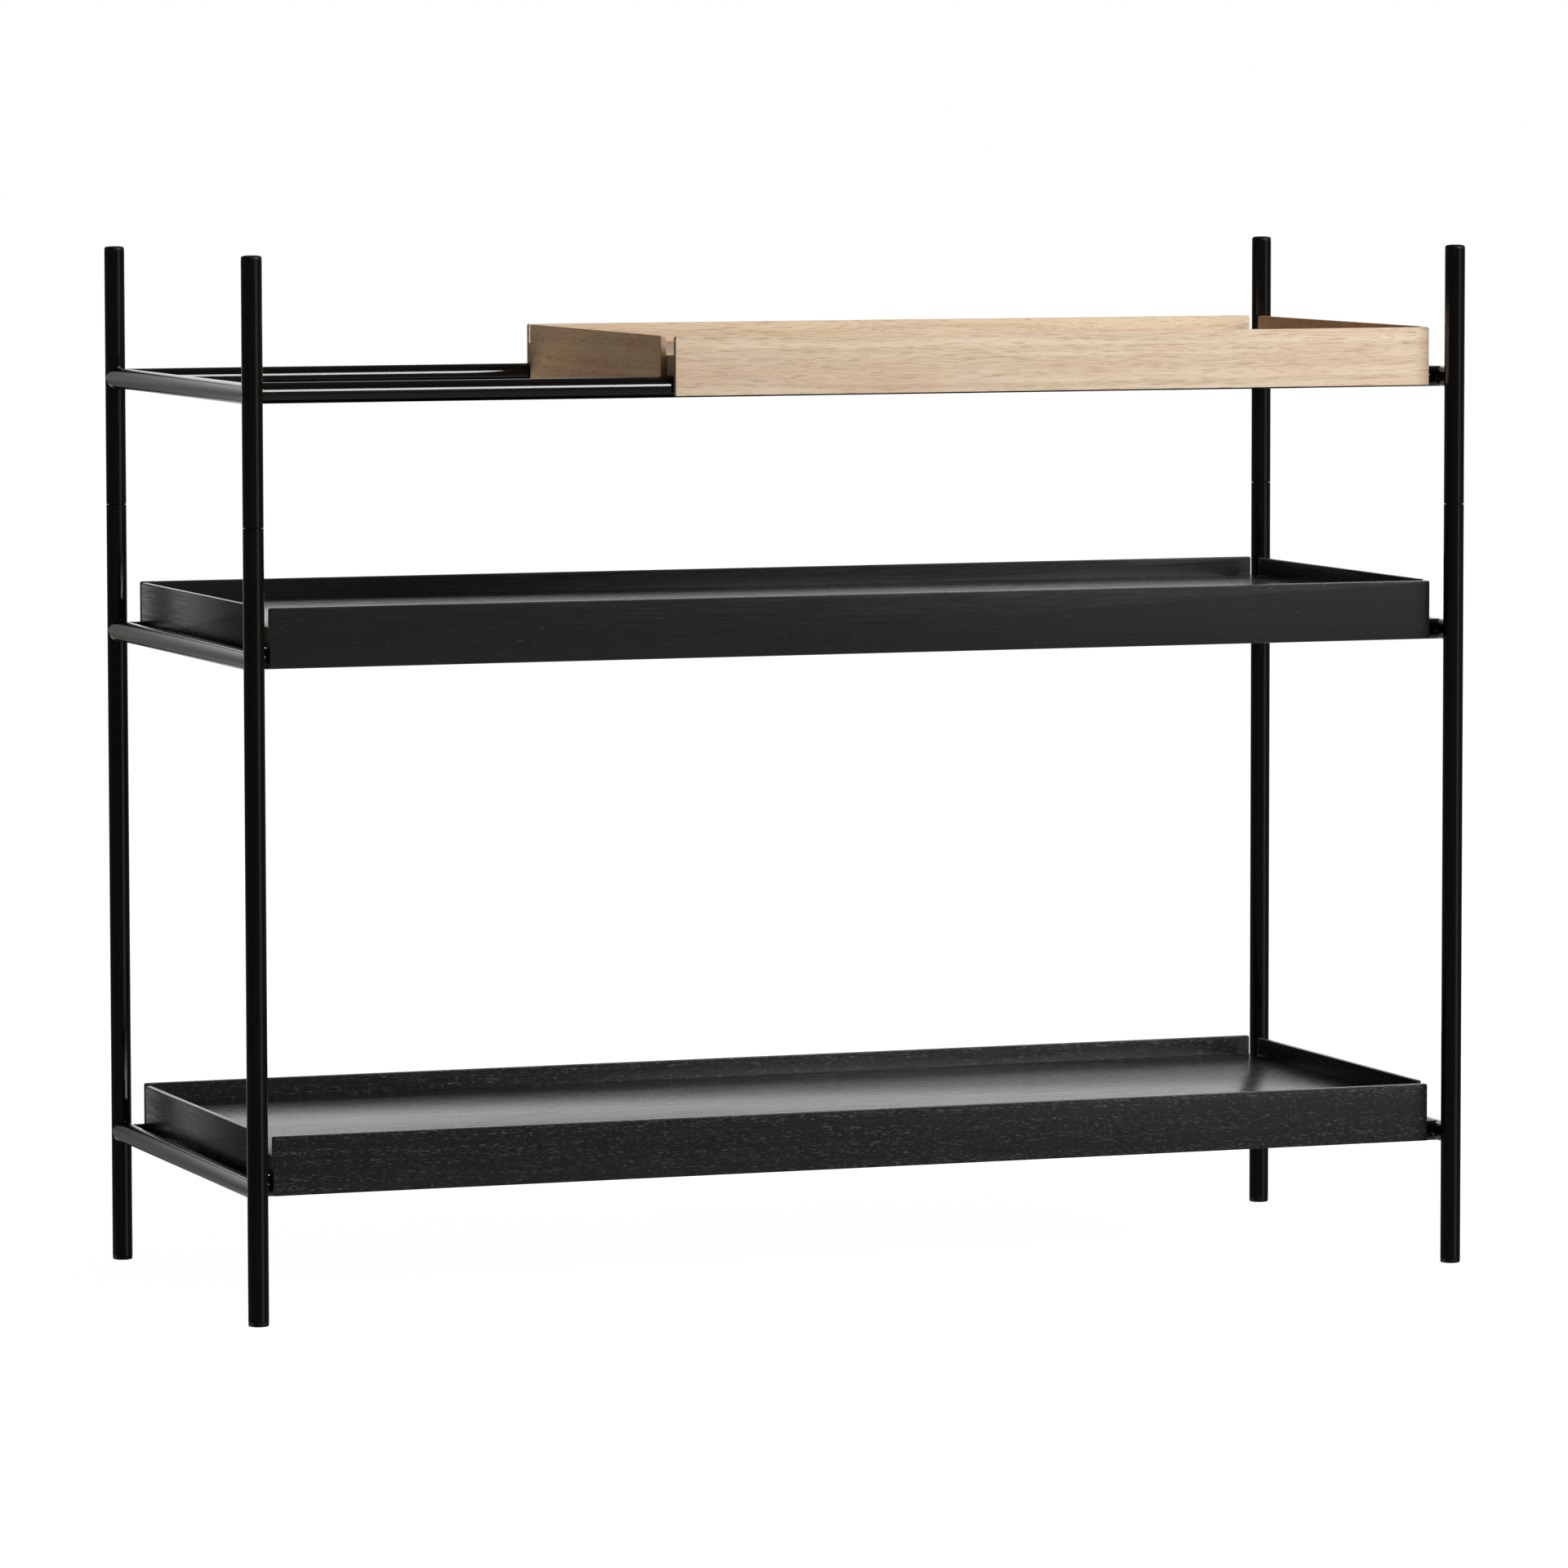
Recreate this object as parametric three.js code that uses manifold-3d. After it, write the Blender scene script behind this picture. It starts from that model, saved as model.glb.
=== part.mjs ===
// Low tray shelf: a welded frame of round steel tube with three levels, and a wooden tray on each.
// Two long black trays fill the low and the middle level. A shorter oak tray slides on the top level.
// Millimetres. +X runs to the right along the shelf, +Y to the back and +Z up.
// The origin is on the ground, in the middle of the four feet.
import * as THREE from "three";
import { mergeVertices } from "three/addons/utils/BufferGeometryUtils.js";
import Module from "manifold-3d";

const wasm = await Module();
wasm.setup();

// ---- Driving dimensions ----

const LENGTH = 1000; // over the posts, along X
const DEPTH = 404; // over the posts, along Y
const HEIGHT = 807; // from the ground to the top of the post caps
const GAP = 0.3; // between pieces that touch

const TUBE_RADIUS = 8;
const TUBE_WALL = 1.5;
const TUBE_SIDES = 32;
const POST_JOINT_HEIGHT = 603; // where an upper post screws on to a lower one
const LONG_RAIL_INSET = 24; // from a post's axis in to the nearest long rail's axis, along Y
const LEVELS = [
  { name: "low", railHeight: 103 },
  { name: "middle", railHeight: 503 },
  { name: "top", railHeight: 703 },
];

const END_PLUG_HEIGHT = 3; // the part of a cap or a foot that shows
const END_PLUG_STEM = 15; // the part inside the tube
const END_PLUG_ROUNDING = 1.4;
const STUD_LENGTH = 40;
const STUD_CHAMFER = 1;

const WALL_THICKNESS = 4.5;
const WALL_ABOVE_RAIL = 39; // from a rail's axis up to the top edge of a tray's walls
const WALL_BELOW_RAIL = 6.5; // from a rail's axis down to the lower edge of a tray's walls
const WALL_CORNER = 1.5; // rounding of a wall's upper corners
const WALL_CORNER_STEPS = 4;
const FLOOR_TOP_ABOVE_RAIL = 24;
const TRAY_DEPTH = 366; // over the long walls, along Y
const TRAY_SIDE_CLEARANCE = 3; // between a long tray and the side rails
const SHORT_WALL_CLEARANCE = 1; // between a tray's short walls and the long rails
const OAK_TRAY_LENGTH = 637;
const OAK_TRAY_CLEARANCE = 4.5; // between the oak tray and the right side rail

// ---- Worked out from them ----

const POST_X = LENGTH / 2 - TUBE_RADIUS;
const POST_Y = DEPTH / 2 - TUBE_RADIUS;
const LONG_RAIL_Y = POST_Y - LONG_RAIL_INSET;
const PLUG_RADIUS = TUBE_RADIUS - TUBE_WALL - GAP;
const SIDE_RAIL_INNER_X = POST_X - TUBE_RADIUS;
const LONG_TRAY_LENGTH = 2 * (SIDE_RAIL_INNER_X - TRAY_SIDE_CLEARANCE);
const SHORT_WALL_LENGTH = 2 * (LONG_RAIL_Y - TUBE_RADIUS - SHORT_WALL_CLEARANCE);
const OAK_TRAY_X = SIDE_RAIL_INNER_X - OAK_TRAY_CLEARANCE - OAK_TRAY_LENGTH / 2;

const ENDS = [
  { name: "left", sign: -1 },
  { name: "right", sign: 1 },
];
const FACES = [
  { name: "front", sign: -1 },
  { name: "back", sign: 1 },
];

// ---- Finishes ----

const finishes = {
  blackSteel: { color: 0x161617, roughness: 0.38, metalness: 0.3 },
  blackPlastic: { color: 0x121213, roughness: 0.5, metalness: 0 },
  zincSteel: { color: 0xa7a9ab, roughness: 0.4, metalness: 1 },
  blackOak: { color: 0x232425, roughness: 0.45, metalness: 0 },
  naturalOak: { color: 0xd3b68d, roughness: 0.6, metalness: 0 },
};

function piece(name, geometry, finish) {
  const mesh = new THREE.Mesh(geometry, new THREE.MeshStandardMaterial(finishes[finish]));
  mesh.name = name;
  return mesh;
}

// ---- Boolean cuts ----

function toSolid(geometry) {
  const bare = geometry.clone();
  bare.deleteAttribute("normal");
  bare.deleteAttribute("uv");
  const merged = mergeVertices(bare);
  return new wasm.Manifold(
    new wasm.Mesh({
      numProp: 3,
      vertProperties: new Float32Array(merged.attributes.position.array),
      triVerts: new Uint32Array(merged.index.array),
    }),
  );
}

function toGeometry(solid) {
  const { vertProperties, triVerts } = solid.getMesh();
  const geometry = new THREE.BufferGeometry();
  geometry.setAttribute("position", new THREE.BufferAttribute(vertProperties, 3));
  geometry.setIndex(new THREE.BufferAttribute(triVerts, 1));
  geometry.computeVertexNormals();
  return geometry;
}

function cutAway(geometry, cutters) {
  return toGeometry(cutters.reduce((rest, cutter) => rest.subtract(toSolid(cutter)), toSolid(geometry)));
}

// ---- Round pieces: built along Y, then turned to their own axis ----

const turnFromY = {
  x: (geometry) => geometry.rotateZ(-Math.PI / 2),
  y: (geometry) => geometry,
  z: (geometry) => geometry.rotateX(Math.PI / 2),
};

// A profile is a list of [radius, distance along the axis].
function turned(profile, axis) {
  const points = profile.map(([radius, along]) => new THREE.Vector2(radius, along));
  return turnFromY[axis](new THREE.LatheGeometry(points, TUBE_SIDES));
}

// An open-ended tube, centred on its own origin.
function tube(length, axis) {
  const bore = TUBE_RADIUS - TUBE_WALL;
  const half = length / 2;
  return turned(
    [
      [bore, -half],
      [TUBE_RADIUS, -half],
      [TUBE_RADIUS, half],
      [bore, half],
      [bore, -half],
    ],
    axis,
  );
}

// The space that a tube along an axis takes up, with the gap around it.
function tubeClearance(axis) {
  const reach = TUBE_RADIUS + GAP;
  const cutter = new THREE.CylinderGeometry(reach, reach, 4 * TUBE_RADIUS, TUBE_SIDES);
  return turnFromY[axis](cutter);
}

// A tube whose two ends are hollowed to sit against crossing tubes, one at each end of its span.
function copedTube(span, axis, crossingAxis) {
  const cutters = [-1, 1].map((sign) => {
    const offset = { x: 0, y: 0, z: 0, [axis]: (sign * span) / 2 };
    return tubeClearance(crossingAxis).translate(offset.x, offset.y, offset.z);
  });
  return cutAway(tube(span, axis), cutters);
}

// ---- Frame ----

function postTube(name, bottom, top) {
  const mesh = piece(name, tube(top - bottom, "z"), "blackSteel");
  mesh.position.z = (bottom + top) / 2;
  return mesh;
}

// A plug with a rounded rim at the ground (z = 0) and a stem that points up into the tube.
function endPlug(name) {
  const rim = TUBE_RADIUS - END_PLUG_ROUNDING;
  const rounding = [0, 1, 2, 3].map((step) => {
    const angle = (step / 3) * (Math.PI / 2);
    return [
      rim + END_PLUG_ROUNDING * Math.sin(angle),
      END_PLUG_ROUNDING * (1 - Math.cos(angle)),
    ];
  });
  const profile = [
    [0, 0],
    ...rounding,
    [TUBE_RADIUS, END_PLUG_HEIGHT],
    [PLUG_RADIUS, END_PLUG_HEIGHT],
    [PLUG_RADIUS, END_PLUG_HEIGHT + END_PLUG_STEM],
    [0, END_PLUG_HEIGHT + END_PLUG_STEM],
  ];
  return piece(name, turned(profile, "z"), "blackPlastic");
}

// The stud inside a post that holds its two lengths together.
function joiningStud(name) {
  const half = STUD_LENGTH / 2;
  const profile = [
    [0, -half],
    [PLUG_RADIUS - STUD_CHAMFER, -half],
    [PLUG_RADIUS, -half + STUD_CHAMFER],
    [PLUG_RADIUS, half - STUD_CHAMFER],
    [PLUG_RADIUS - STUD_CHAMFER, half],
    [0, half],
  ];
  const mesh = piece(name, turned(profile, "z"), "zincSteel");
  mesh.position.z = POST_JOINT_HEIGHT;
  return mesh;
}

function post(corner) {
  const group = new THREE.Group();
  const cap = endPlug(`cap_${corner}`);
  cap.rotation.x = Math.PI;
  cap.position.z = HEIGHT;
  group.add(
    endPlug(`foot_${corner}`),
    postTube(`post_lower_${corner}`, END_PLUG_HEIGHT + GAP, POST_JOINT_HEIGHT - GAP / 2),
    joiningStud(`stud_${corner}`),
    postTube(`post_upper_${corner}`, POST_JOINT_HEIGHT + GAP / 2, HEIGHT - END_PLUG_HEIGHT - GAP),
    cap,
  );
  return group;
}

function posts() {
  const group = new THREE.Group();
  for (const end of ENDS) {
    for (const face of FACES) {
      const corner = post(`${face.name}_${end.name}`);
      corner.position.set(end.sign * POST_X, face.sign * POST_Y, 0);
      group.add(corner);
    }
  }
  return group;
}

// Two side rails from post to post, and two long rails between them.
function railRing(level) {
  const group = new THREE.Group();
  for (const end of ENDS) {
    const sideRail = piece(`rail_${level}_${end.name}`, copedTube(2 * POST_Y, "y", "z"), "blackSteel");
    sideRail.position.x = end.sign * POST_X;
    group.add(sideRail);
  }
  for (const face of FACES) {
    const longRail = piece(`rail_${level}_${face.name}`, copedTube(2 * POST_X, "x", "y"), "blackSteel");
    longRail.position.y = face.sign * LONG_RAIL_Y;
    group.add(longRail);
  }
  return group;
}

// ---- Trays ----

// A board on edge: its length along X, its thickness along Y and its lower edge at z = 0.
function wallBoard(name, length, finish) {
  const half = length / 2;
  const height = WALL_ABOVE_RAIL + WALL_BELOW_RAIL;
  const shoulder = height - WALL_CORNER;
  const outline = new THREE.Shape();
  outline.moveTo(-half, 0);
  outline.lineTo(half, 0);
  outline.absarc(half - WALL_CORNER, shoulder, WALL_CORNER, 0, Math.PI / 2);
  outline.absarc(WALL_CORNER - half, shoulder, WALL_CORNER, Math.PI / 2, Math.PI);
  outline.closePath();
  const board = new THREE.ExtrudeGeometry(outline, {
    depth: WALL_THICKNESS,
    bevelEnabled: false,
    curveSegments: WALL_CORNER_STEPS,
  });
  board.translate(0, 0, -WALL_THICKNESS / 2);
  board.rotateX(Math.PI / 2);
  return piece(name, board, finish);
}

function floorPanel(name, trayLength, finish) {
  const bottom = TUBE_RADIUS + GAP;
  const thickness = FLOOR_TOP_ABOVE_RAIL - bottom;
  const inset = 2 * (WALL_THICKNESS + GAP);
  const panel = piece(
    name,
    new THREE.BoxGeometry(trayLength - inset, TRAY_DEPTH - inset, thickness),
    finish,
  );
  panel.position.z = bottom + thickness / 2;
  return panel;
}

// A tray on the long rails of its level. z = 0 is the height of the rails' axes.
// The long walls are as long as the floor. The short walls are shorter, so the corners are open.
function tray(name, length, finish) {
  const group = new THREE.Group();
  group.add(floorPanel(`${name}_floor`, length, finish));
  for (const face of FACES) {
    const wall = wallBoard(`${name}_wall_${face.name}`, length - 2 * WALL_THICKNESS, finish);
    wall.position.set(0, (face.sign * (TRAY_DEPTH - WALL_THICKNESS)) / 2, -WALL_BELOW_RAIL);
    group.add(wall);
  }
  for (const end of ENDS) {
    const wall = wallBoard(`${name}_wall_${end.name}`, SHORT_WALL_LENGTH, finish);
    wall.rotation.z = Math.PI / 2;
    wall.position.set((end.sign * (length - WALL_THICKNESS)) / 2, 0, -WALL_BELOW_RAIL);
    group.add(wall);
  }
  return group;
}

const trays = {
  low: tray("low_tray", LONG_TRAY_LENGTH, "blackOak"),
  middle: tray("middle_tray", LONG_TRAY_LENGTH, "blackOak"),
  top: tray("oak_tray", OAK_TRAY_LENGTH, "naturalOak"),
};
trays.top.position.x = OAK_TRAY_X;

// ---- Whole shelf ----

const shelf = new THREE.Group();
shelf.add(posts());
for (const level of LEVELS) {
  const storey = new THREE.Group();
  storey.position.z = level.railHeight;
  storey.add(railRing(level.name), trays[level.name]);
  shelf.add(storey);
}

export default shelf;
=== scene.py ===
"""Looks for the low tray shelf: round powder-coated tubes with welded joints, black and natural oak trays.

Everything is in metres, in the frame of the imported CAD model: +X right along the shelf, +Y back, +Z up.
"""
import math

import bmesh
import bpy
from mathutils import Matrix, Vector


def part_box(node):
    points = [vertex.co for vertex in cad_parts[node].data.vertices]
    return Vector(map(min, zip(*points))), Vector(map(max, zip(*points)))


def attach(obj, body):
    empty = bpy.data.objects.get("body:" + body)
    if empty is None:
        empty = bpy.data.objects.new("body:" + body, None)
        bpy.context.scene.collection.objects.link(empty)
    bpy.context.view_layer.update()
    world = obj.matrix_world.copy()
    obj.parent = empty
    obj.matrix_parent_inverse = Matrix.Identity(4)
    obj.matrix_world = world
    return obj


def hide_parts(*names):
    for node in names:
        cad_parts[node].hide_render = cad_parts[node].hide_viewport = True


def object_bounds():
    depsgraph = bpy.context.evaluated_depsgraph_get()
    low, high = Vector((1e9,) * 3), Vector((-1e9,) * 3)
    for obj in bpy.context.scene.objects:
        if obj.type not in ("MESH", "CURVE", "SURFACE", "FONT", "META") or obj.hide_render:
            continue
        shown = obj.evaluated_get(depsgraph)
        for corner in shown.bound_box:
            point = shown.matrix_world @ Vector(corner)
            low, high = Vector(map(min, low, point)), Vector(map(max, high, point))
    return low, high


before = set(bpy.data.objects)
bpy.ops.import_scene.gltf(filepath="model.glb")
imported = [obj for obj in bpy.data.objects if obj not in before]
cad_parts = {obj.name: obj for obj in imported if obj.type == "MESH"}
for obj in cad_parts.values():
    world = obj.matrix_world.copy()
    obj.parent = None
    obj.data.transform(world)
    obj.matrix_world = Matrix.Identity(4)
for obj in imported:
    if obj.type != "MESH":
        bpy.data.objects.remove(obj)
cad_box = [list(corner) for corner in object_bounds()]

MM = 0.001

# ---- Shapes ----

TUBE_SEGMENTS = 72
TUBE_WALL = 1.5 * MM
TUBE_END_CHAMFER = 0.15 * MM
WELD_REACH = 0.9 * MM  # how far a weld's fillet runs out along both tubes
WELD_STEPS = 6
WELD_ROOT = 1.0 * MM  # how deep the weld's root lies in the other tube's wall
PLUG_COLLAR = 3.25 * MM  # height of the part of a cap or foot outside the tube, down to the tube's end
PLUG_INSET = 0.15 * MM  # how far a cap's or foot's side lies inside the tube's
PLUG_STEM_GAP = 0.3 * MM
PLUG_ROUNDING_STEPS = 8
CAP_ROUNDING = 2.2 * MM
CAP_CROWN = 0.3 * MM
FOOT_ROUNDING = 1.0 * MM
STUD_PITCH = 1.5 * MM
STUD_THREAD_DEPTH = 0.6 * MM
WALL_CORNER = 1.6 * MM
WALL_CORNER_SEGMENTS = 5
BOARD_EDGE = 0.45 * MM
BOARD_EDGE_SEGMENTS = 3
BOARD_EDGE_ANGLE = math.radians(60)  # sharper edges than this are eased
CORNER_TOLERANCE = 1 * MM
SHARP_ANGLE = math.radians(35)

ENDS = ("left", "right")
FACES = ("front", "back")
LEVELS = ("low", "middle", "top")
CORNERS = [f"{face}_{end}" for face in FACES for end in ENDS]


def bridge(bm, first, second):
    """Faces between two rings of vertices. A ring of one vertex makes a fan."""
    count = max(len(first), len(second))
    for i in range(count):
        j = (i + 1) % count
        near = (first[i % len(first)], first[j % len(first)])
        far = (second[j % len(second)], second[i % len(second)])
        bm.faces.new(list(dict.fromkeys(near + far)))


def add_piece(name, bm, material, body):
    """Makes an object of the mesh that stands for the CAD node of the same name."""
    bmesh.ops.recalc_face_normals(bm, faces=bm.faces)
    mesh = bpy.data.meshes.new(f"{name}_look")
    bm.to_mesh(mesh)
    bm.free()
    mesh.polygons.foreach_set("use_smooth", [True] * len(mesh.polygons))
    mesh.set_sharp_from_angle(angle=SHARP_ANGLE)
    mesh.materials.append(material)
    piece = bpy.data.objects.new(f"{name}_look", mesh)
    bpy.context.scene.collection.objects.link(piece)
    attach(piece, body)
    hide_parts(name)
    return piece


def turned(profile, axis_xy, closed=False):
    """A solid of revolution about a vertical axis. The profile is a list of (radius, height)."""
    bm = bmesh.new()
    rings = []
    for radius, height in profile:
        count = TUBE_SEGMENTS if radius > 0 else 1
        ring = []
        for i in range(count):
            angle = 2 * math.pi * i / count
            place = (axis_xy[0] + radius * math.cos(angle), axis_xy[1] + radius * math.sin(angle), height)
            ring.append(bm.verts.new(place))
        rings.append(ring)
    following = rings[1:] + rings[:1] if closed else rings[1:]
    for first, second in zip(rings, following):
        bridge(bm, first, second)
    return bm


def post_tube(name):
    """One length of a post: a tube with its two ends a little chamfered."""
    low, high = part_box(name)
    centre = (low + high) / 2
    radius = (high.x - low.x) / 2
    bore = radius - TUBE_WALL
    rim = radius - TUBE_END_CHAMFER
    profile = [
        (bore, low.z),
        (rim, low.z),
        (radius, low.z + TUBE_END_CHAMFER),
        (radius, high.z - TUBE_END_CHAMFER),
        (rim, high.z),
        (bore, high.z),
    ]
    bm = turned(profile, centre.xy, closed=True)
    return add_piece(name, bm, materials["steel"], "frame")


def end_plug(name, rounding, crown, visible_end):
    """A plug with a rounded rim. visible_end is +1 for a cap on top of a post and -1 for a foot."""
    low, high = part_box(name)
    centre = (low + high) / 2
    radius = (high.x - low.x) / 2
    side = radius - PLUG_INSET
    outside = high.z if visible_end > 0 else low.z
    inside = low.z if visible_end > 0 else high.z
    collar = outside - visible_end * PLUG_COLLAR
    stem = radius - TUBE_WALL - PLUG_STEM_GAP
    profile = [(0, outside), (side - 2 * rounding, outside)]
    for step in range(PLUG_ROUNDING_STEPS + 1):
        angle = step / PLUG_ROUNDING_STEPS * math.pi / 2
        drop = crown + (rounding - crown) * (1 - math.cos(angle))
        profile.append((side - rounding + rounding * math.sin(angle), outside - visible_end * drop))
    profile += [(side, collar), (stem, collar), (stem, inside), (0, inside)]
    bm = turned(profile, centre.xy)
    return add_piece(name, bm, materials["plastic"], "frame")


def stud(name):
    """The rod that joins the two lengths of a post, with a ridge for each turn of its thread."""
    low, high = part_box(name)
    centre = (low + high) / 2
    radius = (high.x - low.x) / 2
    root = radius - STUD_THREAD_DEPTH
    turns = int((high.z - low.z) / STUD_PITCH)
    profile = [(0, low.z)]
    for turn in range(turns):
        bottom = low.z + turn * STUD_PITCH
        profile += [(root, bottom), (radius, bottom + STUD_PITCH / 2)]
    profile += [(root, high.z), (0, high.z)]
    bm = turned(profile, centre.xy)
    return add_piece(name, bm, materials["zinc"], "frame")


def on_other_tube(radius, reach, across, beside):
    """The point of the tube that a rail meets, at a distance across the rail and one beside it."""
    return Vector((reach - math.sqrt(max(radius**2 - across**2, 0)), across, beside))


def weld_ring(radius, reach, sign, step):
    """Points round a rail's end, at one step of the fillet that runs from the rail on to the tube it meets.

    Each point is (along, across, beside). along is the rail's own direction, beside is the other tube's.
    Step 0 is on the rail and the last step on the other tube.
    """
    t = step / WELD_STEPS
    ring = []
    for i in range(TUBE_SEGMENTS):
        angle = 2 * math.pi * i / TUBE_SEGMENTS
        across, beside = radius * math.cos(angle), radius * math.sin(angle)
        corner = on_other_tube(radius, reach, across, beside)
        on_rail = corner - Vector((WELD_REACH, 0, 0))
        wide = radius + WELD_REACH
        out_across = max(-radius, min(radius, wide * math.cos(angle)))
        on_tube = on_other_tube(radius, reach, out_across, wide * math.sin(angle))
        point = (1 - t) ** 2 * on_rail + 2 * t * (1 - t) * corner + t**2 * on_tube
        ring.append(Vector((sign * point.x, point.y, point.z)))
    return ring


def sunk_ring(ring, radius, reach, sign):
    """The last ring of a weld, moved into the wall of the tube it lies on."""
    share = (radius - WELD_ROOT) / radius
    return [Vector((sign * reach + (p.x - sign * reach) * share, p.y * share, p.z)) for p in ring]


def rail(name, reach, axes):
    """A tube with both ends shaped to the tubes it meets and welded to them all round.

    reach is from the rail's middle to the other tubes' axes. axes are the directions along, across and
    beside.
    """
    low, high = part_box(name)
    centre = (low + high) / 2
    radius = (high.z - low.z) / 2
    turn = Matrix(axes).transposed()
    bm = bmesh.new()

    def add_ring(points):
        return [bm.verts.new(centre + turn @ p) for p in points]

    rings = []
    for sign in (-1, 1):
        fillet = [weld_ring(radius, reach, sign, step) for step in range(WELD_STEPS + 1)]
        fillet.append(sunk_ring(fillet[-1], radius, reach, sign))
        fillet.append([Vector((sign * (reach - radius + WELD_ROOT), 0, 0))])
        if sign < 0:
            fillet.reverse()
        rings += [add_ring(points) for points in fillet]
    for first, second in zip(rings, rings[1:]):
        bridge(bm, first, second)
    return add_piece(name, bm, materials["steel"], "frame")


def board_mesh(low, high, corner_axis=None):
    """A board with eased edges. Along corner_axis, the way through a wall, the upper corners are rounded."""
    bm = bmesh.new()
    bmesh.ops.create_cube(bm, size=1)
    size = high - low
    for vertex in bm.verts:
        place = [low[i] + (vertex.co[i] + 0.5) * size[i] for i in range(3)]
        vertex.co = place
    if corner_axis is not None:
        upper = [
            edge
            for edge in bm.edges
            if all(v.co.z > high.z - CORNER_TOLERANCE for v in edge.verts)
            and abs((edge.verts[0].co - edge.verts[1].co)[corner_axis]) > CORNER_TOLERANCE
        ]
        bmesh.ops.bevel(
            bm, geom=upper, offset=WALL_CORNER, segments=WALL_CORNER_SEGMENTS, profile=0.5, affect="EDGES"
        )
    sharp = [edge for edge in bm.edges if edge.calc_face_angle(0) > BOARD_EDGE_ANGLE]
    bmesh.ops.bevel(
        bm, geom=sharp, offset=BOARD_EDGE, segments=BOARD_EDGE_SEGMENTS, profile=0.5, affect="EDGES"
    )
    return bm


# ---- Materials ----


NOISE_MIDDLE = (0.3, 0.7)  # a noise texture's values lie mostly between these
# The scales are of noise, in features per metre.
STEEL_COLOURS = ((0.0015, 0.0014, 0.0013), (0.0023, 0.0022, 0.002))
STEEL_ROUGHNESS = (0.09, 0.12)
STEEL_COLOUR_SCALE = 18
STEEL_GLOSS_SCALE = 55
ORANGE_PEEL_SCALE = 420
ORANGE_PEEL_DEPTH = 0.001 * MM
PLASTIC_COLOURS = ((0.003, 0.0028, 0.0026), (0.005, 0.0047, 0.0043))
PLASTIC_ROUGHNESS = (0.36, 0.48)
PLASTIC_SPECULAR = 0.22
PLASTIC_COLOUR_SCALE = 60
PLASTIC_GLOSS_SCALE = 300
PLASTIC_GRAIN_SCALE = 2500
PLASTIC_GRAIN_DEPTH = 0.01 * MM
ZINC_COLOURS = ((0.42, 0.44, 0.46), (0.6, 0.61, 0.6))
ZINC_ROUGHNESS = (0.28, 0.45)
ZINC_COLOUR_SCALE = 120
ZINC_GLOSS_SCALE = 400


def node(tree, kind, **settings):
    """A new node, with the given settings."""
    made = tree.nodes.new(kind)
    for key, value in settings.items():
        setattr(made, key, value)
    return made


def new_material(name):
    """A new material, with its node tree and its shader."""
    material = bpy.data.materials.new(name)
    material.use_nodes = True
    tree = material.node_tree
    shader = tree.nodes["Principled BSDF"]
    return material, tree, shader


def noise(tree, vector, scale, detail=2.0, roughness=0.5):
    """Smooth random values from about 0.2 to 0.8, the same on every run."""
    made = node(tree, "ShaderNodeTexNoise")
    made.inputs["Scale"].default_value = scale
    made.inputs["Detail"].default_value = detail
    made.inputs["Roughness"].default_value = roughness
    tree.links.new(vector, made.inputs["Vector"])
    return made.outputs["Fac"]


def ranged(tree, value, low, high, to_low=0.0, to_high=1.0):
    """The value taken smoothly from the range low to high on to the range to_low to to_high."""
    made = node(tree, "ShaderNodeMapRange", interpolation_type="SMOOTHSTEP")
    made.inputs["From Min"].default_value = low
    made.inputs["From Max"].default_value = high
    made.inputs["To Min"].default_value = to_low
    made.inputs["To Max"].default_value = to_high
    tree.links.new(value, made.inputs["Value"])
    return made.outputs["Result"]


def maths(tree, operation, first, second=0.0):
    """A sum, a product or the like of two values, each a number or a socket."""
    made = node(tree, "ShaderNodeMath", operation=operation)
    for socket, value in zip(made.inputs, (first, second)):
        if isinstance(value, (int, float)):
            socket.default_value = value
        else:
            tree.links.new(value, socket)
    return made.outputs["Value"]


def mixed(tree, factor, first, second):
    """A blend of two colours, each three numbers or a socket: the first at factor 0, the second at 1."""
    made = node(tree, "ShaderNodeMix", data_type="RGBA")
    for socket, value in ((made.inputs[0], factor), (made.inputs[6], first), (made.inputs[7], second)):
        if isinstance(value, (int, float)):
            socket.default_value = value
        elif isinstance(value, tuple):
            socket.default_value = (*value, 1)
        else:
            tree.links.new(value, socket)
    return made.outputs[2]


def bump(tree, height, shader, distance):
    """Surface relief. distance is how high a height of 1 stands."""
    made = node(tree, "ShaderNodeBump")
    made.inputs["Distance"].default_value = distance
    tree.links.new(height, made.inputs["Height"])
    tree.links.new(made.outputs["Normal"], shader.inputs["Normal"])


def steel():
    """Satin black powder coat: a very fine orange peel, and gloss that varies a little along the tube."""
    material, tree, shader = new_material("powder_coated_steel")
    place = node(tree, "ShaderNodeTexCoord").outputs["Object"]
    colour = mixed(tree, noise(tree, place, STEEL_COLOUR_SCALE, detail=3), *STEEL_COLOURS)
    gloss = ranged(tree, noise(tree, place, STEEL_GLOSS_SCALE, detail=3), *NOISE_MIDDLE, *STEEL_ROUGHNESS)
    tree.links.new(colour, shader.inputs["Base Color"])
    tree.links.new(gloss, shader.inputs["Roughness"])
    bump(tree, noise(tree, place, ORANGE_PEEL_SCALE, detail=1), shader, ORANGE_PEEL_DEPTH)
    return material


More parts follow.
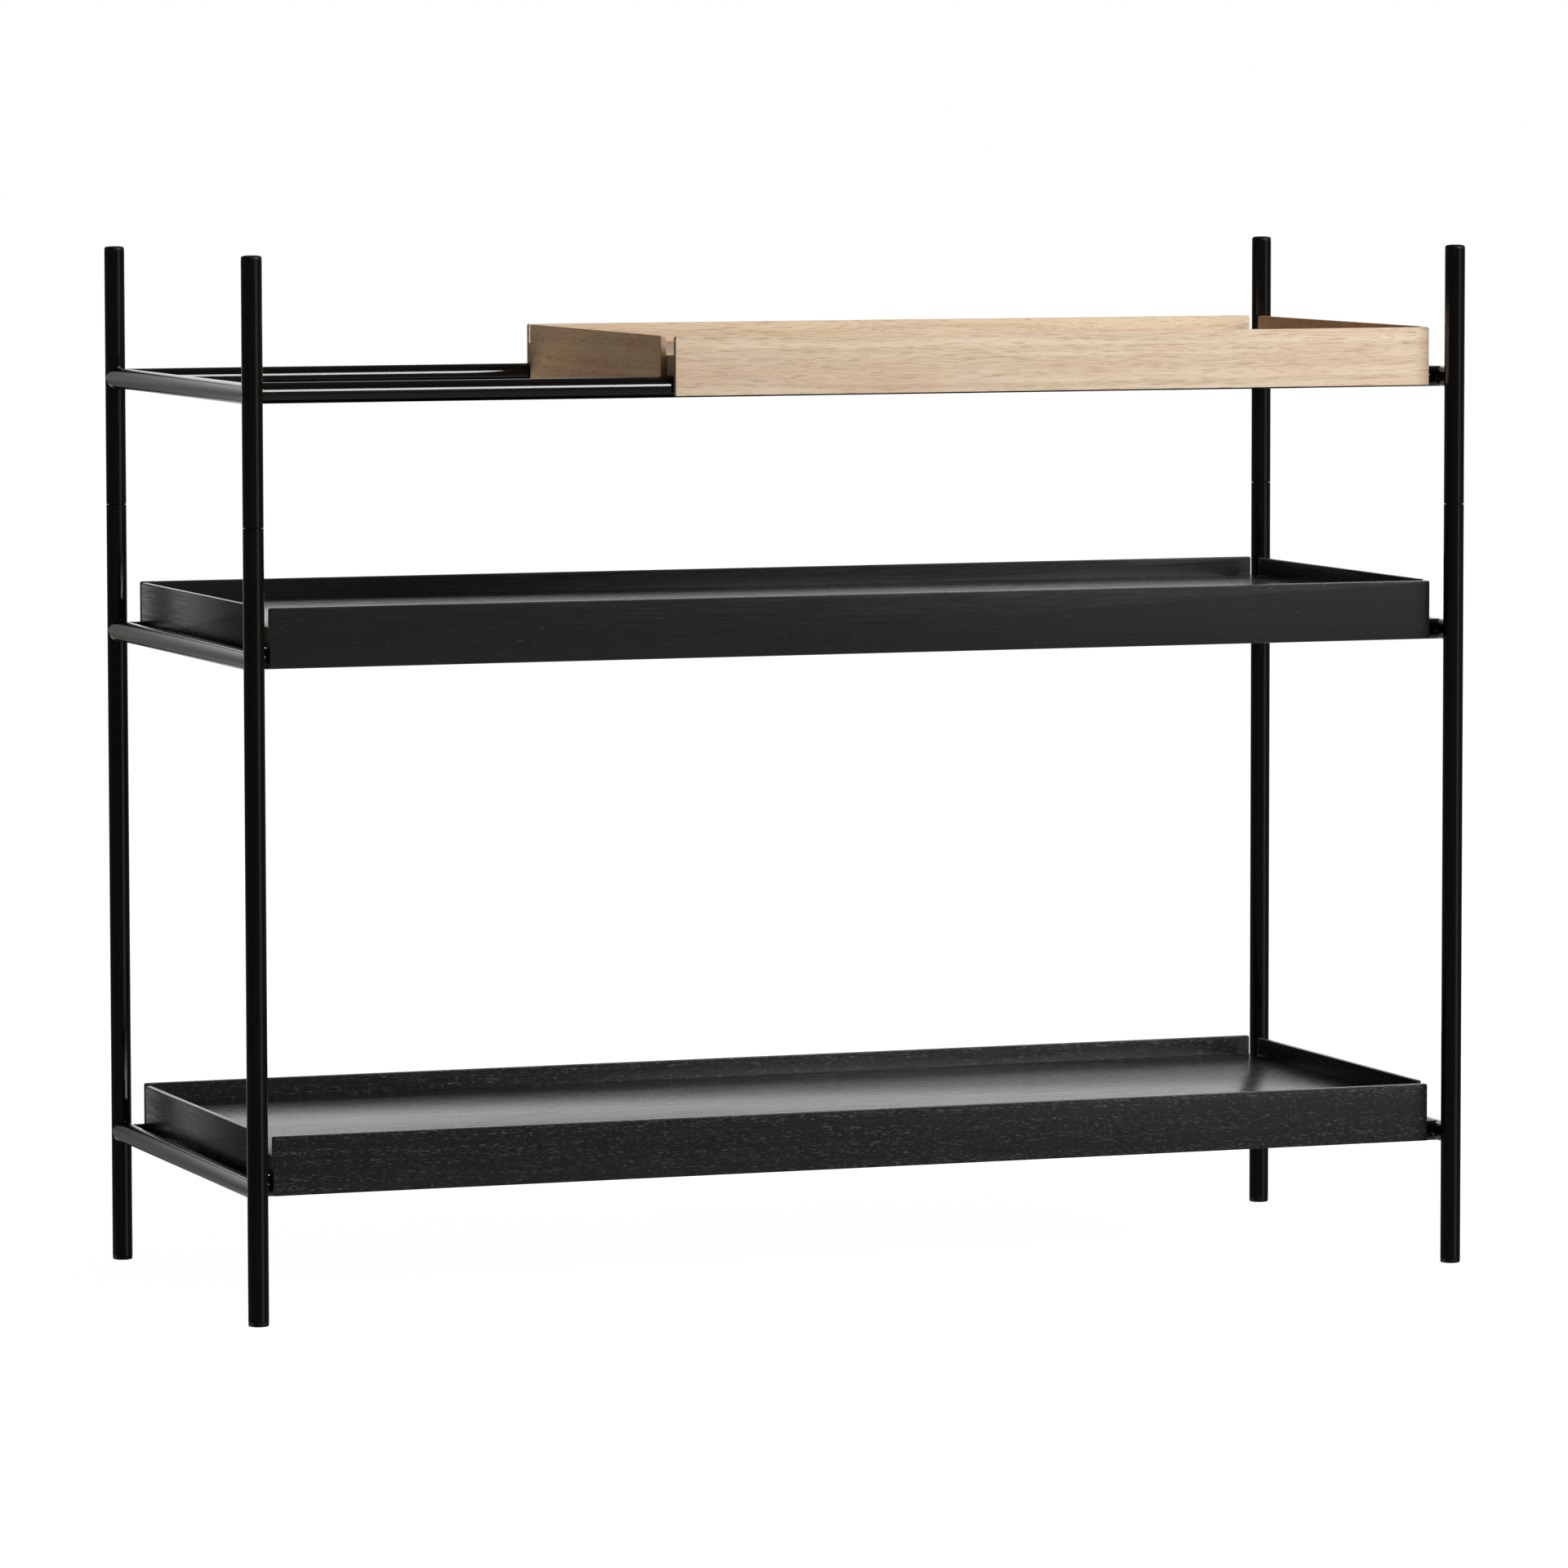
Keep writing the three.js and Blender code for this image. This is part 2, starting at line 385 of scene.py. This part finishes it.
def plastic():
    """Black moulded plastic of the caps and feet: a fine matt grain."""
    material, tree, shader = new_material("moulded_plastic")
    place = node(tree, "ShaderNodeTexCoord").outputs["Object"]
    colour = mixed(tree, noise(tree, place, PLASTIC_COLOUR_SCALE), *PLASTIC_COLOURS)
    gloss = ranged(tree, noise(tree, place, PLASTIC_GLOSS_SCALE), *NOISE_MIDDLE, *PLASTIC_ROUGHNESS)
    tree.links.new(colour, shader.inputs["Base Color"])
    tree.links.new(gloss, shader.inputs["Roughness"])
    shader.inputs["Specular IOR Level"].default_value = PLASTIC_SPECULAR
    bump(tree, noise(tree, place, PLASTIC_GRAIN_SCALE, detail=1), shader, PLASTIC_GRAIN_DEPTH)
    return material


def zinc():
    """Zinc-plated steel of the studs inside the posts."""
    material, tree, shader = new_material("zinc_plated_steel")
    place = node(tree, "ShaderNodeTexCoord").outputs["Object"]
    colour = mixed(tree, noise(tree, place, ZINC_COLOUR_SCALE, detail=4), *ZINC_COLOURS)
    gloss = ranged(tree, noise(tree, place, ZINC_GLOSS_SCALE), *NOISE_MIDDLE, *ZINC_ROUGHNESS)
    tree.links.new(colour, shader.inputs["Base Color"])
    tree.links.new(gloss, shader.inputs["Roughness"])
    shader.inputs["Metallic"].default_value = 1.0
    return material


# Colours of a board's wood, and how its pores lie: "pore_size" is how often they change, per metre, along and
# across the grain, and fewer pores show as "pores" rises. The pores' colour is darker wood on the natural
# oak;
# on the black oaks it is lighter than the wood, a painted glint on the pores' edges.
OAK_LOOKS = {
    "natural": {
        "light": (0.77, 0.65, 0.495),
        "dark": (0.665, 0.53, 0.385),
        "blush": (0.685, 0.505, 0.375),
        "pore_and_glint": (0.50, 0.36, 0.25),
        "end": (0.40, 0.31, 0.22),
        "pore_size": (60, 2300),
        "pores": 0.5,
        "roughness": (0.68, 0.8),
        "pore_depth": 0.02 * MM,
        "specular": 0.0,
    },
    "black": {
        "light": (0.0128, 0.0132, 0.0137),
        "dark": (0.0098, 0.0101, 0.0105),
        "blush": (0.0115, 0.0116, 0.0115),
        # lighter than the wood: painted glints on the pores' edges
        "pore_and_glint": (0.08, 0.08, 0.08),
        "end": (0.0098, 0.0101, 0.0105),
        "pore_size": (230, 1900),
        "pores": 0.575,
        "roughness": (0.2, 0.3),
        "pore_depth": 0.02 * MM,
        "specular": 0.34,
    },
    "plain_black": {
        "light": (0.0150, 0.0153, 0.0158),
        "dark": (0.0130, 0.0132, 0.0137),
        "blush": (0.0140, 0.0141, 0.0141),
        # lighter than the wood: painted glints on the pores' edges
        "pore_and_glint": (0.05, 0.05, 0.05),
        "end": (0.0130, 0.0132, 0.0137),
        "pore_size": (170, 1700),
        "pores": 0.67,
        "roughness": (0.2, 0.3),
        "pore_depth": 0.015 * MM,
        "specular": 0.34,
    },
}
# Painted shade: tints over the colours above that give the oak tray's walls that stand mostly in shade the
# darker, warmer colour of wood in shade.
BOARD_SHADE_TINTS = {
    "wall_back": (0.93, 0.91, 0.89),
    "wall_left": (1.05, 0.94, 0.86),
    "wall_right": (1.05, 0.88, 0.78),
}
NO_SHADE_TINT = (1, 1, 1)
GRAIN_DRIFT = 16 * MM  # how far the grain wanders sideways along a board
RING_SPACING = 6 * MM
# How often each part of the figure changes, per metre, along the grain and across it.
DRIFT_RATE = (4, 9)
RING_RATE = (1.5, 1 / RING_SPACING)
FIBRE_RATE = (16, 700)
FIBRE_DETAIL = {"detail": 3, "roughness": 0.6}
BLUSH_RATE = (9, 60)
PORE_DEPTH_RATE = (30, 800)
EARLY_WOOD = (0.35, 0.62)  # the values of the rings' noise at which their early wood begins and is full
EARLY_WOOD_SHARE = 0.45  # how much of the figure is the rings, and the rest is fibre
BLUSH_RANGE = (0.42, 0.66)  # the values of its noise at which a blush begins and is full
BLUSH_MOST = 0.7
PORE_THINNING = 0.07  # how much fewer the pores are in the late wood, on the scale of "pores"
PORE_SHARPNESS = 14  # how steeply a pore's edge falls
PORE_SHALLOWEST = 0.35  # depth of the shallowest pore, against the deepest
FIBRE_RELIEF = 0.2  # how high the fibre stands against the depth of a pore
END_GRAIN_FACING = (0.5, 0.9)  # how squarely a face looks along the grain for end grain to begin, and be full


def stretched(tree, vector, along, across):
    """Coordinates scaled by one number along the grain and another across it."""
    made = node(tree, "ShaderNodeVectorMath", operation="MULTIPLY")
    made.inputs[1].default_value = (along, across, across)
    tree.links.new(vector, made.inputs[0])
    return made.outputs["Vector"]


def grain_space(tree, along, shift):
    """Coordinates with x along the grain, moved by shift so that no two boards show the same figure.

    A slow drift sideways bends the grain into the long arches of sliced veneer.
    """
    place = node(tree, "ShaderNodeTexCoord").outputs["Object"]
    mapping = node(tree, "ShaderNodeMapping")
    mapping.inputs["Location"].default_value = shift
    if along == "y":
        mapping.inputs["Rotation"].default_value = (0, 0, math.pi / 2)
    tree.links.new(place, mapping.inputs["Vector"])
    straight = mapping.outputs["Vector"]
    drift = noise(tree, stretched(tree, straight, *DRIFT_RATE), 1, detail=1)
    drift = maths(tree, "MULTIPLY", drift, GRAIN_DRIFT)
    sideways = node(tree, "ShaderNodeCombineXYZ")
    tree.links.new(drift, sideways.inputs["Y"])
    tree.links.new(drift, sideways.inputs["Z"])
    bent = node(tree, "ShaderNodeVectorMath", operation="ADD")
    tree.links.new(straight, bent.inputs[0])
    tree.links.new(sideways.outputs["Vector"], bent.inputs[1])
    return bent.outputs["Vector"]


def end_grain(tree, along):
    """1 on the two ends of a board, where the grain is cut across, and 0 on its other faces."""
    facing = node(tree, "ShaderNodeSeparateXYZ")
    tree.links.new(node(tree, "ShaderNodeTexCoord").outputs["Normal"], facing.inputs["Vector"])
    return ranged(tree, maths(tree, "ABSOLUTE", facing.outputs[along.upper()]), *END_GRAIN_FACING)


def pore_dashes(tree, space, early_wood, values):
    """1 in the pores and 0 beside them: short dashes of varying depth, gathered in the rings' early wood. On
    the black oaks they also carry painted glints.
    """
    dashes = noise(tree, stretched(tree, space, *values["pore_size"]), 1, detail=1)
    threshold = ranged(tree, early_wood, 0, 1, values["pores"] + PORE_THINNING, values["pores"])
    pores = maths(tree, "MULTIPLY", maths(tree, "SUBTRACT", dashes, threshold), PORE_SHARPNESS)
    pores = ranged(tree, pores, 0, 1)
    depth = noise(tree, stretched(tree, space, *PORE_DEPTH_RATE), 1, detail=1)
    return maths(tree, "MULTIPLY", pores, ranged(tree, depth, *NOISE_MIDDLE, PORE_SHALLOWEST, 1.0))


def oak(name, look, along, shift, shade_tint):
    """Oak veneer: growth rings, dashes of pores (lighter on the black oaks: painted glints), fibre, slow
    blushes, darker end grain. The last argument tints the board with painted shade.
    """
    values = OAK_LOOKS[look]
    material, tree, shader = new_material(name)
    space = grain_space(tree, along, shift)

    early_wood = ranged(tree, noise(tree, stretched(tree, space, *RING_RATE), 1, detail=1), *EARLY_WOOD)
    fibre = noise(tree, stretched(tree, space, *FIBRE_RATE), 1, **FIBRE_DETAIL)
    from_rings = maths(tree, "MULTIPLY", early_wood, EARLY_WOOD_SHARE)
    figure = maths(tree, "ADD", from_rings, maths(tree, "MULTIPLY", fibre, 1 - EARLY_WOOD_SHARE))
    colour = mixed(tree, figure, values["light"], values["dark"])
    patch = noise(tree, stretched(tree, space, *BLUSH_RATE), 1, detail=2)
    colour = mixed(tree, ranged(tree, patch, *BLUSH_RANGE, 0.0, BLUSH_MOST), colour, values["blush"])
    pores = pore_dashes(tree, space, early_wood, values)
    # On the black oaks the pores' colour is lighter than the wood: painted glints on the pores' edges.
    colour = mixed(tree, pores, colour, values["pore_and_glint"])
    colour = mixed(tree, end_grain(tree, along), colour, values["end"])
    # Painted shade: the colour is multiplied by the board's tint for the shade it stands in.
    shade_tinted = node(tree, "ShaderNodeVectorMath", operation="MULTIPLY")
    tree.links.new(colour, shade_tinted.inputs[0])
    shade_tinted.inputs[1].default_value = shade_tint
    tree.links.new(shade_tinted.outputs["Vector"], shader.inputs["Base Color"])

    gloss = ranged(tree, fibre, *NOISE_MIDDLE, *values["roughness"])
    tree.links.new(gloss, shader.inputs["Roughness"])
    shader.inputs["Specular IOR Level"].default_value = values["specular"]
    relief = maths(tree, "SUBTRACT", maths(tree, "MULTIPLY", fibre, FIBRE_RELIEF), pores)
    bump(tree, relief, shader, values["pore_depth"])
    return material


materials = {"steel": steel(), "plastic": plastic(), "zinc": zinc()}

# ---- Frame ----

post_low, post_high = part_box("post_lower_back_right")
post_axis = (post_low + post_high) / 2

for corner in CORNERS:
    post_tube(f"post_lower_{corner}")
    post_tube(f"post_upper_{corner}")
    stud(f"stud_{corner}")
    end_plug(f"cap_{corner}", CAP_ROUNDING, CAP_CROWN, 1)
    end_plug(f"foot_{corner}", FOOT_ROUNDING, 0, -1)

X_AXIS, Y_AXIS, Z_AXIS = (1, 0, 0), (0, 1, 0), (0, 0, 1)
for level in LEVELS:
    for end in ENDS:
        rail(f"rail_{level}_{end}", post_axis.y, (Y_AXIS, X_AXIS, Z_AXIS))
    for face in FACES:
        rail(f"rail_{level}_{face}", post_axis.x, (X_AXIS, Z_AXIS, Y_AXIS))

# ---- Trays ----

TRAYS = {"low_tray": "black", "middle_tray": "plain_black", "oak_tray": "natural"}
BOARDS = {
    "floor": ("x", None),
    "wall_front": ("x", 1),
    "wall_back": ("x", 1),
    "wall_left": ("y", 0),
    "wall_right": ("y", 0),
}

BOARD_SHIFT = (0.37, 0.013)  # from one board's place in the figure to the next board's, along and across
TRAY_SHIFT = (0.9, 0.29)  # from one tray's boards to the next tray's, along and upwards

for tray_number, (tray, look) in enumerate(TRAYS.items()):
    for board_number, (board, (grain, corner_axis)) in enumerate(BOARDS.items()):
        name = f"{tray}_{board}"
        shift = (
            BOARD_SHIFT[0] * board_number + TRAY_SHIFT[0] * tray_number,
            BOARD_SHIFT[1] * board_number,
            TRAY_SHIFT[1] * tray_number,
        )
        # Only the natural oak tray's walls get a tint of painted shade.
        shade_tint = BOARD_SHADE_TINTS.get(board, NO_SHADE_TINT) if look == "natural" else NO_SHADE_TINT
        material = oak(f"{look}_oak_{name}", look, grain, shift, shade_tint)
        low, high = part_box(name)
        add_piece(name, board_mesh(low, high, corner_axis), material, tray)

# ---- Studio ----

FLOOR_HALF = 60
FLOOR_COLOUR = (0.35, 0.35, 0.35, 1)
FLOOR_ROUGHNESS = 0.9
FLOOR_GLOW = 0.97  # the floor's own light, so that it stays near white wherever no light reaches
BACKDROP_DIRECTION = (0.326, 0.945, 0)  # from the shelf to the middle of the lit backdrop behind it
BACKDROP_EDGE = (0.72, 0.985)  # cosines of the angles from its middle at which the backdrop ends and is full
BACKDROP_FOOT = (-0.46, 0.14)  # heights between which the backdrop fades in from the dark floor below it
BACKDROP_TOP = (0.22, 0.36)  # heights between which it fades out again
BACKDROP_LIGHT = (0.04, 1.2)  # at the lower and the upper of those heights of its foot
BACKDROP_TOP_SHARE = 0.2  # of the backdrop's light, left above its top
# Light from below stands in for the floor's own, which the pieces neither reflect nor are lit by.
FLOOR_REFLECTION_HEIGHTS = (-0.5, -0.12)  # between which it fades out
FLOOR_REFLECTION_LIGHT = 0.26
# A fill light comes from low on the left and behind. It fades out upwards, to the right and to the front.
FILL_HEIGHTS = (-0.45, -0.15)
FILL_LEFT = (-0.75, -0.45)
FILL_BACK = (-0.15, 0.15)
FILL_LIGHT = 5.0
GLOW_DIRECTION = (0.602, -0.799, -0.03)  # to a weak bright patch at the front right, which the posts reflect
GLOW_EDGE = (0.94, 0.998)  # cosines of the angles from its middle at which the patch ends and is full
GLOW_LIGHT = 0.45
ROOM_COLOUR = (1.0, 0.92, 0.81)  # of all the light but the backdrop's
ROOM_LIGHT = 0.085
WHITE = (1.0, 1.0, 1.0)

KEY_LIGHT = {
    "place": (5.9, -7.8, 5.35),
    "target": (0, 0, 0.45),
    "width": 6.8,
    "height": 4.0,
    "radiance": 17,
}
BACK_STRIP = {
    "place": (1.3, 7.5, 2.9),
    "target": (0, 0, 0.7),
    "width": 0.8,
    "height": 0.4,
    "radiance": 3,
}

CAMERA_SENSOR = 36
CAMERA_LENS = 192.05
CAMERA_REACH = 200
CAMERA_PLACE = (-2.23808, -6.21726, 0.93459)
CAMERA_ANGLES = (19.798, 4.791, -0.102)  # degrees: turned to the right of +Y, tipped down, rolled


def floor():
    """A pale floor with a light of its own, which the pieces neither reflect nor are lit by."""
    material, tree, shader = new_material("pale_floor")
    shader.inputs["Base Color"].default_value = FLOOR_COLOUR
    shader.inputs["Roughness"].default_value = FLOOR_ROUGHNESS
    shader.inputs["Specular IOR Level"].default_value = 0
    shader.inputs["Emission Color"].default_value = (*WHITE, 1)
    shader.inputs["Emission Strength"].default_value = FLOOR_GLOW
    corners = [(FLOOR_HALF * x, FLOOR_HALF * y, 0) for x, y in ((-1, -1), (1, -1), (1, 1), (-1, 1))]
    mesh = bpy.data.meshes.new("studio_floor")
    mesh.from_pydata(corners, [], [(0, 1, 2, 3)])
    mesh.materials.append(material)
    made = bpy.data.objects.new("studio_floor", mesh)
    bpy.context.scene.collection.objects.link(made)
    made.location.z = cad_box[0][2]
    made.visible_glossy = False
    made.visible_diffuse = False


def towards(tree, direction, target):
    """Cosine of the angle between a direction and the fixed direction target."""
    made = node(tree, "ShaderNodeVectorMath", operation="DOT_PRODUCT")
    tree.links.new(direction, made.inputs[0])
    made.inputs[1].default_value = target
    return made.outputs["Value"]


def surroundings():
    """A lit backdrop behind the shelf and a dim warm room round it, with plain white seen past the shelf."""
    world = bpy.data.worlds.new("studio")
    bpy.context.scene.world = world
    world.use_nodes = True
    tree = world.node_tree
    background = tree.nodes["Background"]
    direction = node(tree, "ShaderNodeTexCoord").outputs["Generated"]
    parts = node(tree, "ShaderNodeSeparateXYZ")
    tree.links.new(direction, parts.inputs["Vector"])
    sideways, depth, height = parts.outputs

    behind = ranged(tree, towards(tree, direction, BACKDROP_DIRECTION), *BACKDROP_EDGE)
    foot = ranged(tree, height, *BACKDROP_FOOT, *BACKDROP_LIGHT)
    lit = maths(tree, "MULTIPLY", foot, ranged(tree, height, *BACKDROP_TOP, 1.0, BACKDROP_TOP_SHARE))
    below = ranged(tree, height, *FLOOR_REFLECTION_HEIGHTS, FLOOR_REFLECTION_LIGHT, 0.0)
    low_light = ranged(tree, height, *FILL_HEIGHTS, FILL_LIGHT, 0.0)
    fill = maths(tree, "MULTIPLY", low_light, ranged(tree, sideways, *FILL_LEFT, 1.0, 0.0))
    fill = maths(tree, "MULTIPLY", fill, ranged(tree, depth, *FILL_BACK))
    glow = ranged(tree, towards(tree, direction, GLOW_DIRECTION), *GLOW_EDGE, 0.0, GLOW_LIGHT)
    dim = maths(tree, "ADD", maths(tree, "ADD", below, fill), glow)
    dim = maths(tree, "ADD", dim, ROOM_LIGHT)
    room = node(tree, "ShaderNodeVectorMath", operation="SCALE")
    room.inputs[0].default_value = ROOM_COLOUR
    tree.links.new(dim, room.inputs["Scale"])
    around = mixed(tree, behind, room.outputs["Vector"], lit)
    seen = node(tree, "ShaderNodeLightPath").outputs["Is Camera Ray"]
    tree.links.new(mixed(tree, seen, around, WHITE), background.inputs["Color"])


def softbox(name, place, target, width, height, radiance):
    """A flat rectangular light that looks from place to target, and that the camera doesn't see."""
    light = bpy.data.lights.new(name, "AREA")
    light.shape = "RECTANGLE"
    light.size = width
    light.size_y = height
    light.energy = radiance * math.pi * width * height
    made = bpy.data.objects.new(name, light)
    made.location = place
    made.rotation_mode = "QUATERNION"
    made.rotation_quaternion = (Vector(target) - Vector(place)).to_track_quat("-Z", "Y")
    made.visible_camera = False
    bpy.context.scene.collection.objects.link(made)
    return made


def camera():
    """A long lens from the front left, a little above the shelf's top."""
    data = bpy.data.cameras.new("camera")
    data.sensor_width = CAMERA_SENSOR
    data.lens = CAMERA_LENS
    data.clip_end = CAMERA_REACH
    made = bpy.data.objects.new("camera", data)
    yaw, pitch, roll = (math.radians(angle) for angle in CAMERA_ANGLES)
    look = Vector((math.sin(yaw) * math.cos(pitch), math.cos(yaw) * math.cos(pitch), -math.sin(pitch)))
    right = Vector((math.cos(yaw), -math.sin(yaw), 0))
    up = right.cross(look)
    rolled_right = math.cos(roll) * right + math.sin(roll) * up
    rolled_up = -math.sin(roll) * right + math.cos(roll) * up
    turn = Matrix((rolled_right, rolled_up, -look)).transposed()
    made.matrix_world = Matrix.Translation(CAMERA_PLACE) @ turn.to_4x4()
    bpy.context.scene.collection.objects.link(made)
    bpy.context.scene.camera = made


floor()
surroundings()
softbox("key_light", **KEY_LIGHT)
strip = softbox("back_strip", **BACK_STRIP)
strip.visible_diffuse = False
camera()

view = bpy.context.scene.view_settings
view.view_transform = "Standard"
view.look = "None"
view.exposure = 0
view.gamma = 1
